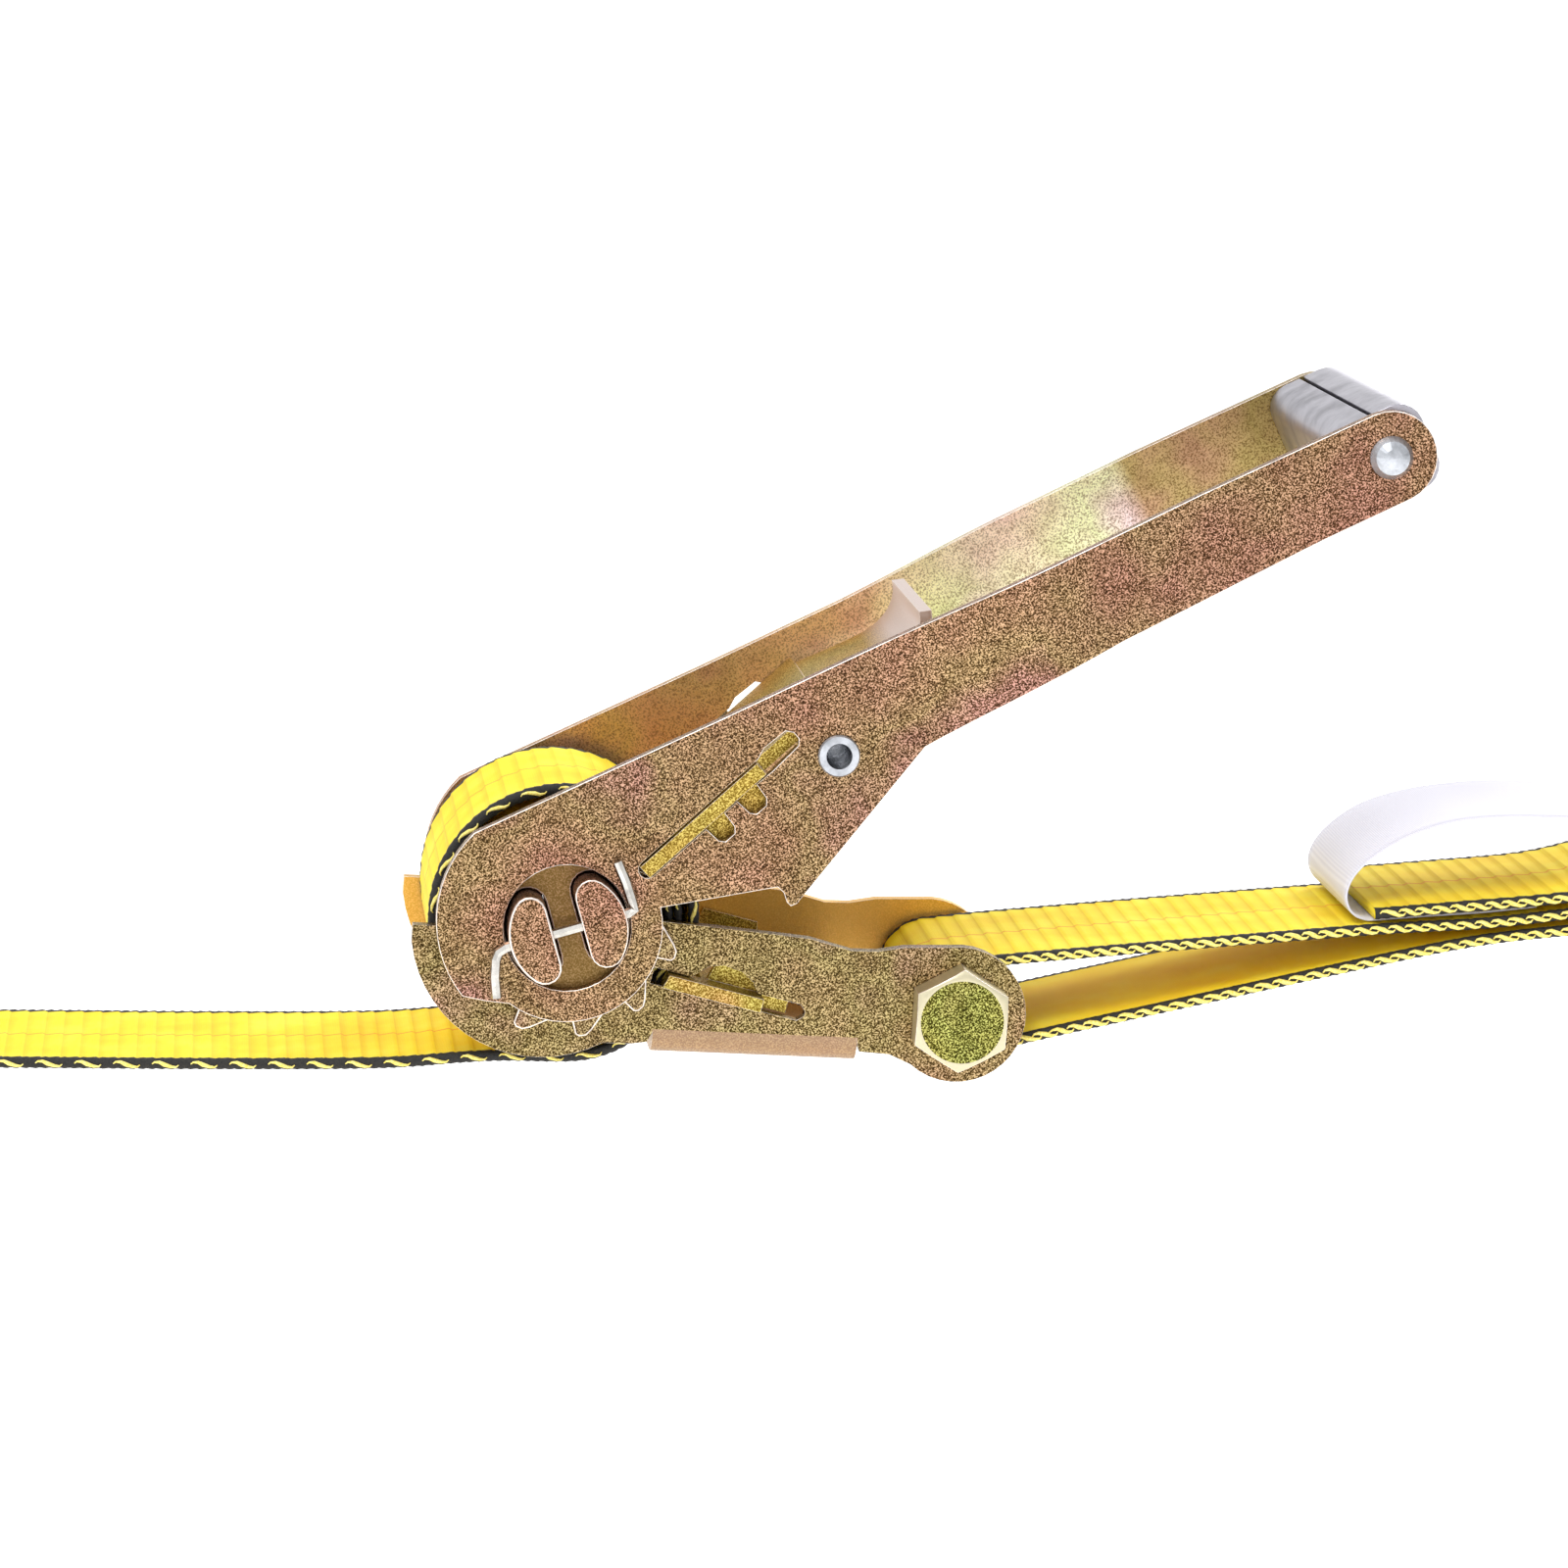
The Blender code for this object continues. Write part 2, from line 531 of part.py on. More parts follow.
def tag_path():
    sewn = [(206.0, 11.1), (195.0, 9.45), (182.0, 8.0), (170.0, 6.55)]
    free = [(167.3, 7.4), (165.6, 9.4), (165.1, 12.4), (166.5, 16.2), (170.5, 20.6), (177.0, 24.9),
            (186.5, 28.3), (197.5, 30.1), (208.0, 30.7), (222.0, 30.7)]
    return sewn + smooth_path([sewn[-1], *free], 3)[1:]


def hook_route(bar, heading):
    """Double J: one wire from tip to tip, round the webbing's bar between the two shanks."""
    straight = WEBBING_WIDTH / 2 + 1.0
    wide = straight + 1.4 * HOOK_WIRE
    close = HOOK_WIRE + 0.4
    flat = [(0, 0), (0, 14.0), (0, straight), (2.8, wide - 1.6), (8.0, wide), (15, wide - 2.5), (40, 14.0),
            (56, close + 0.6), (66, close), (HOOK_LENGTH, close)]
    flat = smooth_path(flat, 4)
    bend = arc(0, 0, HOOK_BEND, 90, -95, 14)[1:]
    side = [(d, y, 0.0) for d, y in flat] + [(HOOK_LENGTH + p, close, q - HOOK_BEND) for p, q in bend]
    route = [(d, -y, h) for d, y, h in reversed(side)] + side[1:]
    return [(bar[0] + heading * d, y, bar[1] + h) for d, y, h in route]


def build_webbing(parent):
    half = WEBBING_WIDTH / 2
    solid("main_strap", ribbon(main_strap_path(), half, WEBBING_THICK), parent, WEBBING)
    solid("fixed_strap", ribbon(fixed_strap_path(), half, WEBBING_THICK), parent, WEBBING)
    solid("strap_tag", ribbon(tag_path(), 22.0, 0.4), parent, TAG)
    wire("main_strap_hook", hook_route(MAIN_BAR, -1), HOOK_WIRE, parent, ZINC_YELLOW)
    wire("fixed_strap_hook", hook_route(FIXED_BAR, 1), HOOK_WIRE, parent, ZINC_YELLOW)


def main():
    for old in list(bpy.data.objects):
        bpy.data.objects.remove(old, do_unlink=True)
    base = body("base")
    build_frame(base)
    build_bolt(base)
    coil_spring("lock_pawl_spring", (50.6, 59.6), LOCK_TILT, (LOCK_LOW + LOCK_HIGH) / 2, 3.2, base)
    build_webbing(base)
    build_spindle(body("spindle"))
    build_handle(body("handle"))
    build_drive_pawl(body("drive_pawl_slide"))
    build_lock_pawl(body("lock_pawl_slide"))


main()
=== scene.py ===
"""Looks of the ratchet tie down: webbing, tag, plated steel, studio light and camera.

Lengths are in metres in the part's own frame; webbing routes are in millimetres around the spindle.
"""
import json
import math

import bmesh
import bpy
from mathutils import Matrix, Vector


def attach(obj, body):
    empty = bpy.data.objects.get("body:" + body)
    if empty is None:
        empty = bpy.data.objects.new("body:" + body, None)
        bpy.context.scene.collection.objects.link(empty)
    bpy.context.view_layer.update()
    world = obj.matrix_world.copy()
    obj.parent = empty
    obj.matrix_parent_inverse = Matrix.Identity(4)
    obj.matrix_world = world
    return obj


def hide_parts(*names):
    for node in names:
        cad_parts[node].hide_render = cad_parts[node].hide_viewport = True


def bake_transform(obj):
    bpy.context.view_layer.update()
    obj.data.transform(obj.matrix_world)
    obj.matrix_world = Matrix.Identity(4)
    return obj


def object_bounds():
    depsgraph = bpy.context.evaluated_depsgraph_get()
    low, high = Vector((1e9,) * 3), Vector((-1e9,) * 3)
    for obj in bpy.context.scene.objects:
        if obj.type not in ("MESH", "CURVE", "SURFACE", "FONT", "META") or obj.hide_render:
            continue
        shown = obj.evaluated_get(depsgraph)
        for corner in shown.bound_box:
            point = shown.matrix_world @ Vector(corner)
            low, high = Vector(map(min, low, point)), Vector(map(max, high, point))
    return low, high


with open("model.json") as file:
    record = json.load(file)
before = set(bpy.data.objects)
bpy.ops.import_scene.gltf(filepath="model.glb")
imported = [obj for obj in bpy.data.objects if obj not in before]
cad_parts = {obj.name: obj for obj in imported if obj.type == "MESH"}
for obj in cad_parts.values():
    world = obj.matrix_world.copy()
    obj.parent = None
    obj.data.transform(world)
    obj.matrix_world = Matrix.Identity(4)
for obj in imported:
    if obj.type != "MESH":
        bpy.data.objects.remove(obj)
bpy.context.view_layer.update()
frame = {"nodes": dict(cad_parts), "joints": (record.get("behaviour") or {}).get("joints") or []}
NODES = frame["nodes"]

MM = 0.001
SWING = next(j for j in frame["joints"] if j["name"] == "handle_swing")
SPINDLE = Vector(SWING["pos_m"])
HALF_WIDTH = 25.0           # webbing
THICK = 2.2
RIB_PITCH = 3.9             # one rib of the webbing
STEP = 0.65                 # between the webbing's rows, six to a rib
SELVEDGE = 1.5              # width of the black edge
BOLT = (83.2, -16.1)
SLOT_TILT = 18.5            # lean of the slot between the bars, degrees
LOCK_TILT = -12.0           # direction in which the lock pawl slides, degrees
PLAIN = 100.0               # added to v where a face has neither ribs nor centre thread


# ---- camera, light, floor -------------------------------------------------------------------------
def make_camera():
    """A long lens a little above the straps and left of the spindle."""
    camera = bpy.data.objects.new("camera", bpy.data.cameras.new("camera"))
    camera.data.lens = 135.7
    camera.data.clip_end = 50
    right = Vector((0.99343, -0.09572, 0.06275))
    up = Vector((-0.04630, 0.16523, 0.98517))
    forward = Vector((0.10467, 0.98160, -0.15971))
    turn = Matrix((right, up, -forward)).transposed().to_4x4()
    camera.matrix_world = Matrix.Translation(SPINDLE + Vector((-0.0845, -1.2310, 0.2266))) @ turn
    bpy.context.scene.collection.objects.link(camera)
    bpy.context.scene.camera = camera


def area_light(name, place, aim, size, power):
    light = bpy.data.lights.new(name, "AREA")
    light.shape = "RECTANGLE"
    light.size, light.size_y = size
    light.energy = power
    lamp = bpy.data.objects.new(name, light)
    lamp.location = place
    lamp.rotation_euler = (Vector(aim) - Vector(place)).to_track_quat("-Z", "Y").to_euler()
    bpy.context.scene.collection.objects.link(lamp)


def make_studio():
    """White surroundings, a soft key light from upper left and a rim light from behind."""
    world = bpy.data.worlds.new("studio")
    world.use_nodes = True
    world.node_tree.nodes["Background"].inputs["Color"].default_value = (1, 1, 1, 1)
    world.node_tree.nodes["Background"].inputs["Strength"].default_value = 1.0
    bpy.context.scene.world = world
    bpy.context.scene.view_settings.view_transform = "Standard"
    middle = SPINDLE
    area_light("key", middle + Vector((-0.5, -0.9, 1.3)), middle, (0.7, 0.7), 12)
    area_light("rim", middle + Vector((0.7, 0.9, 0.9)), middle, (0.6, 0.4), 8)
    mesh = bpy.data.meshes.new("floor")
    size, level = 30.0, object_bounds()[0][2] - 0.05
    corners = [(-size, -size, level), (size, -size, level), (size, size, level), (-size, size, level)]
    mesh.from_pydata(corners, [], [(0, 1, 2, 3)])
    floor = bpy.data.objects.new("floor", mesh)
    made, _, shader = new_material("floor_white")
    shader.inputs["Base Color"].default_value = (0.93, 0.93, 0.93, 1)
    shader.inputs["Roughness"].default_value = 0.9
    shader.inputs["Emission Color"].default_value = (1, 1, 1, 1)
    shader.inputs["Emission Strength"].default_value = 0.35
    mesh.materials.append(made)
    bpy.context.scene.collection.objects.link(floor)


# ---- material tools -------------------------------------------------------------------------------
def new_material(name):
    made = bpy.data.materials.new(name)
    made.use_nodes = True
    return made, made.node_tree, made.node_tree.nodes["Principled BSDF"]


def node(tree, kind, **values):
    """A new node; values name its sockets, or else its settings."""
    made = tree.nodes.new(kind)
    for key, value in values.items():
        if key in made.inputs:
            made.inputs[key].default_value = value
        else:
            setattr(made, key, value)
    return made


def own_place(tree):
    """The piece's own coordinates, from one node per material."""
    place = tree.nodes.get("Place") or node(tree, "ShaderNodeTexCoord", name="Place")
    return place.outputs["Object"]


def noise(tree, scale, detail=2.0, rough=0.5):
    """Noise on turned coordinates, so that no flat face lies along its lattice."""
    made = node(tree, "ShaderNodeTexNoise", Scale=scale, Detail=detail, Roughness=rough)
    turned = tree.nodes.get("Turned")
    if turned is None:
        turned = node(tree, "ShaderNodeMapping", name="Turned", Rotation=(0.5, 0.7, 0.3))
        tree.links.new(own_place(tree), turned.inputs["Vector"])
    tree.links.new(turned.outputs["Vector"], made.inputs["Vector"])
    return made


def ramp(tree, source, stops):
    """The colour at source, between stops of (position, linear colour)."""
    made = tree.nodes.new("ShaderNodeValToRGB")
    elements = made.color_ramp.elements
    while len(elements) < len(stops):
        elements.new(0.5)
    for element, (position, colour) in zip(elements, stops):
        element.position = position
        element.color = (*colour, 1)
    tree.links.new(source, made.inputs["Fac"])
    return made.outputs["Color"]


def mix(tree, mode, factor, one, two):
    """Two colours mixed; factor, one and two are sockets or values."""
    made = tree.nodes.new("ShaderNodeMix")
    made.data_type = "RGBA"
    made.blend_type = mode
    for socket, value in ((made.inputs[0], factor), (made.inputs[6], one), (made.inputs[7], two)):
        if isinstance(value, bpy.types.NodeSocket):
            tree.links.new(value, socket)
        else:
            socket.default_value = value
    return made.outputs[2]


def math_node(tree, operation, one, two=0.0):
    """One sum on sockets or numbers."""
    made = tree.nodes.new("ShaderNodeMath")
    made.operation = operation
    for socket, value in zip(made.inputs, (one, two)):
        if isinstance(value, bpy.types.NodeSocket):
            tree.links.new(value, socket)
        else:
            socket.default_value = value
    return made.outputs[0]


def bump(tree, shader, height, strength, distance):
    made = node(tree, "ShaderNodeBump", Strength=strength, Distance=distance)
    tree.links.new(height, made.inputs["Height"])
    tree.links.new(made.outputs["Normal"], shader.inputs["Normal"])


# ---- metals ---------------------------------------------------------------------------------------
def measure(tree, part, heading):
    """Distance from the spindle along heading, in millimetres, on the part's own coordinates."""
    local = part.matrix_world.to_3x3().transposed() @ Vector(heading).normalized()
    start = local.dot(part.matrix_world.inverted() @ SPINDLE)
    dot = tree.nodes.new("ShaderNodeVectorMath")
    dot.operation = "DOT_PRODUCT"
    dot.inputs[1].default_value = local
    tree.links.new(own_place(tree), dot.inputs[0])
    return math_node(tree, "MULTIPLY", math_node(tree, "SUBTRACT", dot.outputs["Value"], start), 1000.0)


def yellow_zinc(name, tones, hues, grain=3000.0, rough=(0.30, 0.52)):
    """Chromated steel: drifting hues under a fine sparkling grain; tones are (dark, mid, light)."""
    made, tree, shader = new_material(name)
    grain_noise = noise(tree, grain, 1.5, 0.6)
    flecks = ramp(tree, grain_noise.outputs["Fac"], list(zip((0.39, 0.50, 0.61), tones)))
    drift = noise(tree, 26.0, 3.0, 0.55)
    tint = ramp(tree, drift.outputs["Fac"], list(zip((0.34, 0.45, 0.56, 0.68), hues)))
    colour = mix(tree, "MULTIPLY", 0.9, flecks, tint)
    stains = noise(tree, 150.0, 4.0, 0.65)
    stain_tone = ramp(tree, stains.outputs["Fac"], [(0.30, (0.66, 0.60, 0.54)), (0.52, (1, 1, 1))])
    colour = mix(tree, "MULTIPLY", 0.6, colour, stain_tone)
    tree.links.new(colour, shader.inputs["Base Color"])
    shader.inputs["Metallic"].default_value = 0.95
    gloss = ramp(tree, grain_noise.outputs["Fac"], [(0.35, (rough[1],) * 3), (0.65, (rough[0],) * 3)])
    tree.links.new(gloss, shader.inputs["Roughness"])
    bump(tree, shader, grain_noise.outputs["Fac"], 0.3, 0.0001)
    return made


def overlay(made, change):
    """Replaces the material's colour by change(tree, old colour socket)."""
    tree, shader = made.node_tree, made.node_tree.nodes["Principled BSDF"]
    old = shader.inputs["Base Color"].links[0].from_socket
    tree.links.new(change(tree, old), shader.inputs["Base Color"])
    return made


def bright_zinc(name, colour, rough, streak=300.0):
    """Plain bright metal, clouded and a little rough."""
    made, tree, shader = new_material(name)
    cloud = noise(tree, streak, 4.0, 0.65)
    dull, shiny = tuple(c * 0.62 for c in colour), tuple(min(1, c * 1.2) for c in colour)
    tone = ramp(tree, cloud.outputs["Fac"], [(0.3, dull), (0.52, colour), (0.7, shiny)])
    tree.links.new(tone, shader.inputs["Base Color"])
    shader.inputs["Metallic"].default_value = 1.0
    gloss = ramp(tree, cloud.outputs["Fac"], [(0.3, (rough + 0.15,) * 3), (0.7, (rough,) * 3)])
    tree.links.new(gloss, shader.inputs["Roughness"])
    fine = noise(tree, 1800.0, 2.0, 0.6)
    bump(tree, shader, fine.outputs["Fac"], 0.15, 0.00008)
    return made


def frame_tint(tree, old):
    """The rolled bend under the frame is smooth and pink, the far cheek brown-gold."""
    part = NODES["base_frame"]
    low = math_node(tree, "LESS_THAN", measure(tree, part, (0, 0, 1)), -21.9)
    middle = math_node(tree, "ABSOLUTE", math_node(tree, "SUBTRACT", measure(tree, part, (1, 0, 0)), 41.0))
    rolled = math_node(tree, "MULTIPLY", low, math_node(tree, "LESS_THAN", middle, 21.6))
    colour = mix(tree, "MIX", math_node(tree, "MULTIPLY", rolled, 0.75), old, (0.40, 0.255, 0.165, 1))
    far = math_node(tree, "GREATER_THAN", measure(tree, part, (0, 1, 0)), 20.0)
    return mix(tree, "MIX", math_node(tree, "MULTIPLY", far, 0.75), colour, (0.95, 0.56, 0.13, 1))


def disc(tree, part, centre, radius):
    """1 within radius of a line across the straps at centre, 0 outside."""
    squares = []
    for heading, at in (((1, 0, 0), centre[0]), ((0, 0, 1), centre[1])):
        squares.append(math_node(tree, "POWER", math_node(tree, "ABSOLUTE", math_node(
            tree, "SUBTRACT", measure(tree, part, heading), at)), 2.0))
    return math_node(tree, "LESS_THAN", math_node(tree, "ADD", *squares), radius * radius)


def bolt_chamfer_painted_highlight(tree, old):
    """The chamfer round the bolt's head is painted pale: a painted highlight where it catches the light."""
    return mix(tree, "MIX", disc(tree, NODES["anchor_bolt"], BOLT, 8.7), (0.66, 0.60, 0.42, 1), old)


def wheel_recess_painted_shade(tree, old):
    """Between the bars the wheel is smooth and painted dark brown-gold: painted shade where it sits deep in
    its recess.
    """
    inside = math_node(tree, "MULTIPLY", disc(tree, NODES["ratchet_wheel_near"], (0, 0), 13.6), 0.8)
    return mix(tree, "MIX", inside, old, (0.21, 0.125, 0.035, 1))


def far_plate_painted_light(tree, old):
    """Reddish by the hub, pale gold and pink in the middle, brown-gold towards the grip: partly the plating's
    own hue, partly painted light, with the middle band from about 88 to 148 mm painted bright as a painted
    highlight and the two ends painted darker as painted shade.
    """
    along = measure(tree, NODES["handle_plate_far"], (0.866, 0, 0.5))
    stops = [(0, (0.72, 0.42, 0.21)), (60, (0.90, 0.58, 0.38)), (88, (0.96, 0.76, 0.44)),
             (100, (1.0, 0.98, 0.60)), (114, (1.0, 0.84, 0.74)), (128, (1.0, 1.0, 0.70)),
             (148, (1.0, 0.95, 0.78)), (152, (0.64, 0.48, 0.23)), (190, (0.50, 0.35, 0.16))]
    tone = ramp(tree, math_node(tree, "MULTIPLY", along, 0.005), [(at / 200, colour) for at, colour in stops])
    return mix(tree, "MULTIPLY", 1.0, old, tone)


def lip_tint(tree, old):
    """The finger lip is painted paler at its far end."""
    along = measure(tree, NODES["drive_pawl"], (1, 0, 1))
    worn = ramp(tree, math_node(tree, "MULTIPLY", along, 0.01),
                [(0.0, (0, 0, 0)), (0.84, (0, 0, 0)), (0.9, (1, 1, 1))])
    return mix(tree, "MIX", worn, old, (0.66, 0.55, 0.50, 1))


def make_metals():
    """Dresses every metal node and breaks its edges; the pale bevel facets are a painted highlight."""
    warm = [(1.0, 0.78, 0.86), (1.0, 0.94, 0.84), (0.92, 1.0, 0.74), (1.0, 0.82, 1.0)]
    plate_tones = ((0.045, 0.024, 0.011), (0.190, 0.106, 0.050), (0.68, 0.44, 0.30))
    plate = yellow_zinc("zinc_handle", plate_tones, warm)
    frame_tones = ((0.045, 0.027, 0.010), (0.185, 0.120, 0.048), (0.64, 0.47, 0.28))
    frame_metal = yellow_zinc("zinc_frame", frame_tones, warm)
    frame_metal = overlay(frame_metal, frame_tint)
    # The far plate gets much lighter tones than the near plate: painted light on its lit inner face.
    far_plate_lit_tones = ((0.42, 0.37, 0.33), (0.86, 0.84, 0.82), (1, 1, 1))
    far = yellow_zinc("zinc_far_with_painted_light", far_plate_lit_tones, warm, 2500.0, (0.3, 0.45))
    far = overlay(far, far_plate_painted_light)
    gold = [(1.0, 0.82, 0.66), (1.0, 0.96, 0.60), (0.88, 1.0, 0.66), (1.0, 0.80, 0.80)]
    lively = yellow_zinc("zinc_pawl", ((0.20, 0.12, 0.02), (0.38, 0.25, 0.06), (0.78, 0.60, 0.24)), gold)
    lively = overlay(lively, lip_tint)
    hooks = yellow_zinc("zinc_hook", ((0.20, 0.13, 0.04), (0.50, 0.36, 0.13), (0.95, 0.80, 0.46)), gold)
    bolt = yellow_zinc("zinc_bolt", ((0.035, 0.030, 0.005), (0.140, 0.120, 0.024), (0.64, 0.58, 0.24)), gold)
    wheel = yellow_zinc("zinc_wheel", ((0.06, 0.034, 0.015), (0.21, 0.125, 0.062), (0.64, 0.46, 0.30)), warm)
    # Painted shade on the recessed wheel between the bars.
    wheel = overlay(wheel, wheel_recess_painted_shade)
    # Painted highlight on the chamfer round the bolt's head.
    bolt = overlay(bolt, bolt_chamfer_painted_highlight)
    # Pale zinc for the bevel facets: a painted highlight along the broken edges.
    edge = bright_zinc("zinc_edge_painted_highlight", (0.90, 0.80, 0.74), 0.28, 500.0)
    silver = bright_zinc("zinc_silver", (0.52, 0.54, 0.58), 0.22)
    pin = bright_zinc("zinc_pin", (0.62, 0.60, 0.56), 0.18)
    grey = bright_zinc("grip_grey", (0.42, 0.41, 0.455), 0.30, 90.0)
    dark = bright_zinc("spring_wire", (0.42, 0.36, 0.26), 0.3)
    dress = {
        "base_frame": frame_metal, "anchor_bolt": bolt, "mandrel_bar_left": plate,
        "mandrel_bar_right": plate, "ratchet_wheel_near": wheel, "ratchet_wheel_far": wheel,
        "handle_plate_near": plate, "handle_plate_far": far, "drive_pawl": lively, "lock_pawl": lively,
        "main_strap_hook": hooks, "fixed_strap_hook": hooks, "bolt_nut": bolt,
        "bolt_washer": silver, "bolt_sleeve": silver, "retaining_pin_near": pin,
        "retaining_pin_far": pin, "cross_tube": silver, "grip_rivet": silver, "grip_sleeve": grey,
        "drive_pawl_spring": dark, "lock_pawl_spring": dark,
    }
    beveled = {"base_frame": 0.4, "anchor_bolt": 0.45, "mandrel_bar_left": 0.45, "mandrel_bar_right": 0.45,
               "ratchet_wheel_near": 0.35, "ratchet_wheel_far": 0.35, "handle_plate_near": 0.4,
               "handle_plate_far": 0.35, "drive_pawl": 0.3, "lock_pawl": 0.3, "bolt_nut": 0.4,
               "grip_sleeve": 0.25}
    for name, look in dress.items():
        part = NODES[name]
        part.data.materials.clear()
        part.data.materials.append(look)
        if name in beveled:
            part.data.materials.append(edge if name != "grip_sleeve" else look)
            round_edges(part, beveled[name] * MM)


def round_edges(part, width):
    """Joins the loaded corners, then breaks every sharp edge with a narrow facet in the part's second
    material, which on most parts is pale zinc as a painted highlight.
    """
    weld = part.modifiers.new("Weld", "WELD")
    weld.merge_threshold = 0.00001
    flat = part.modifiers.new("Flat", "DECIMATE")
    flat.decimate_type = "DISSOLVE"
    flat.angle_limit = math.radians(0.3)
    bevel = part.modifiers.new("Edge", "BEVEL")
    bevel.width = width
    bevel.segments = 2
    bevel.limit_method = "ANGLE"
    bevel.angle_limit = math.radians(40)
    bevel.material = 1
    bevel.use_clamp_overlap = True
    normals = part.modifiers.new("Normals", "WEIGHTED_NORMAL")
    normals.keep_sharp = False


# ---- webbing materials ----------------------------------------------------------------------------
def webbing_material(name):
    """Woven yellow band: u runs along it and v across it, both in millimetres."""
    made, tree, shader = new_material(name)
    uv = tree.nodes.new("ShaderNodeUVMap")
    uv.uv_map = "weave"
    split = tree.nodes.new("ShaderNodeSeparateXYZ")
    tree.links.new(uv.outputs["UV"], split.inputs["Vector"])
    along, across = split.outputs["X"], split.outputs["Y"]
    yarn_across = math_node(tree, "SINE", math_node(tree, "MULTIPLY", across, 2 * math.pi / 1.15))
    yarn_along = math_node(tree, "SINE", math_node(tree, "MULTIPLY", along, 2 * math.pi / 0.95))
    weave = math_node(tree, "MULTIPLY", yarn_across, yarn_along)
    front = math_node(tree, "LESS_THAN", across, PLAIN / 2)
    saw = math_node(tree, "FRACT", math_node(tree, "MULTIPLY", along, 1 / RIB_PITCH))
    cloud = noise(tree, 70.0, 3.0, 0.55)
    base = ramp(tree, cloud.outputs["Fac"],
                [(0.3, (0.92, 0.64, 0.008)), (0.5, (0.95, 0.72, 0.015)), (0.7, (0.97, 0.80, 0.05))])
    shade = ramp(tree, saw, [(0.0, (0.78, 0.68, 0.40)), (0.10, (1, 1, 0.9)), (0.55, (1, 1, 1)),
                             (1.0, (0.84, 0.78, 0.6))])
    colour = mix(tree, "MULTIPLY", math_node(tree, "MULTIPLY", front, 0.75), base, shade)
    thread_tone = ramp(tree, math_node(tree, "MULTIPLY_ADD", weave, 0.5),
                       [(0.0, (0.84, 0.82, 0.76)), (0.6, (1, 1, 1))])
    colour = mix(tree, "MULTIPLY", 0.6, colour, thread_tone)
    jog = math_node(tree, "MULTIPLY", math_node(tree, "SUBTRACT", saw, 0.5), 0.7)
    away = math_node(tree, "ABSOLUTE", math_node(tree, "ADD", across, jog))
    middle = math_node(tree, "LESS_THAN", away, 0.30)
    colour = mix(tree, "MIX", math_node(tree, "MULTIPLY", middle, 0.85), colour, (0.80, 0.20, 0.015, 1))
    tree.links.new(colour, shader.inputs["Base Color"])
    shader.inputs["Roughness"].default_value = 0.62
    shader.inputs["Specular IOR Level"].default_value = 0.25
    bump(tree, shader, weave, 0.5, 0.00012)
    return made


def thread_material(name, colour, lighter):
    made, tree, shader = new_material(name)
    fine = noise(tree, 2600.0, 2.0, 0.6)
    tone = ramp(tree, fine.outputs["Fac"], [(0.35, colour), (0.65, lighter)])
    tree.links.new(tone, shader.inputs["Base Color"])
    shader.inputs["Roughness"].default_value = 0.7
    shader.inputs["Sheen Weight"].default_value = 0.03
    bump(tree, shader, fine.outputs["Fac"], 0.5, 0.00015)
    return made


def tag_material():
    made, tree, shader = new_material("tag_cloth")
    wave = node(tree, "ShaderNodeTexWave", Scale=900.0, Distortion=0.6)
    wave.bands_direction = "X"
    tree.links.new(own_place(tree), wave.inputs["Vector"])
    tone = ramp(tree, wave.outputs["Fac"], [(0.2, (0.64, 0.63, 0.71)), (0.8, (0.72, 0.71, 0.78))])
    tree.links.new(tone, shader.inputs["Base Color"])
    shader.inputs["Roughness"].default_value = 0.6
    shader.inputs["Specular IOR Level"].default_value = 0.3
    bump(tree, shader, wave.outputs["Fac"], 0.25, 0.00008)
    return made


# ---- routes, in millimetres around the spindle ------------------------------------------------------
def arc(cx, cz, radius, start, end, steps):
    angles = [math.radians(start + (end - start) * i / steps) for i in range(steps + 1)]
    return [(cx + radius * math.cos(a), cz + radius * math.sin(a)) for a in angles]


def smooth_path(points, steps):
    """A Catmull-Rom curve through points."""
    ends = [points[0], *points, points[-1]]
    path = []
    for p0, p1, p2, p3 in zip(ends, ends[1:], ends[2:], ends[3:]):
        for i in range(steps):
            t = i / steps
            path.append(tuple(
                0.5 * (2 * b + (c - a) * t + (2 * a - 5 * b + 4 * c - d) * t * t
                       + (3 * b - a - 3 * c + d) * t ** 3)
                for a, b, c, d in zip(p0, p1, p2, p3)))
    return path + [tuple(points[-1])]


def main_route():
    turn = arc(0, 0, 27.1, 250, -36, 60)
    leaving = [(18.2, -21.0), (14.9, -25.0), (9.3, -28.0), (2.6, -29.4), (-10.7, -29.8), (-19.8, -30.6),
               (-38.0, -32.6), (-75.0, -34.3), (-115.0, -35.7)]
    round_bar = arc(-175.0, -44.0, 5.9, 90, 284, 20)
    sewn_back = [(-160.0, -46.0), (-150.0, -42.3), (-135.0, -39.3)]
    return (turn + smooth_path([turn[-1], *leaving, round_bar[0]], 6)[1:-1] + round_bar
            + smooth_path([round_bar[-1], *sewn_back], 4)[1:])


